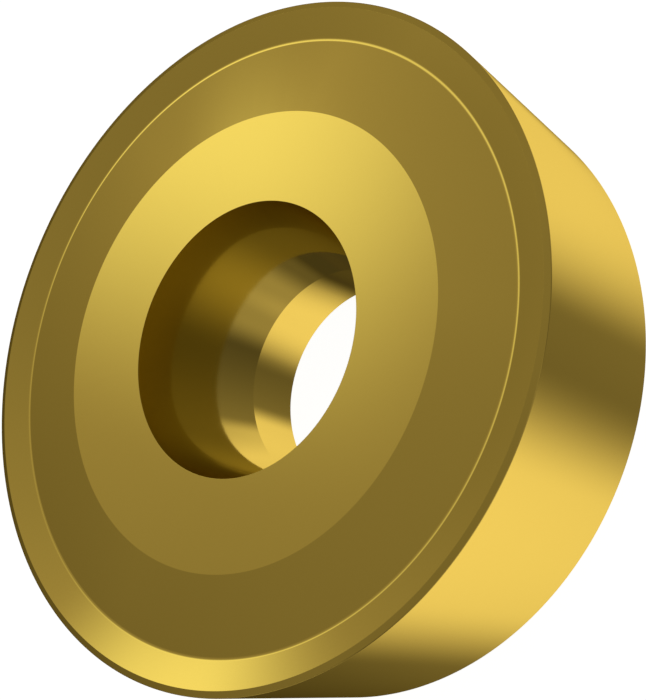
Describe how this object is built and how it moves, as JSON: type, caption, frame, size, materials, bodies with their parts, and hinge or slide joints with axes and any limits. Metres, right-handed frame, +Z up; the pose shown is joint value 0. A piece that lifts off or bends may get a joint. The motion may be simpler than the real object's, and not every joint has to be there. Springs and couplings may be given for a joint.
{
  "type": "round carbide cutting insert",
  "caption": "Round indexable cutting insert with a relieved flank, a land and chip groove behind its edge, and a countersunk hole for its clamping screw.",
  "frame": {"origin": "middle of the seat, the flat bottom face around the bore", "axes": "+Z up through the screw hole to the cutting side; the part is round, so X and Y are free in the plane of the seat"},
  "size_m": [0.02, 0.02, 0.0061],
  "materials": {
    "coating": "smooth gold-coloured titanium nitride coating on sintered tungsten carbide"
  },
  "bodies": {
    "root": {"insert": "coating"}
  },
  "joints": []
}
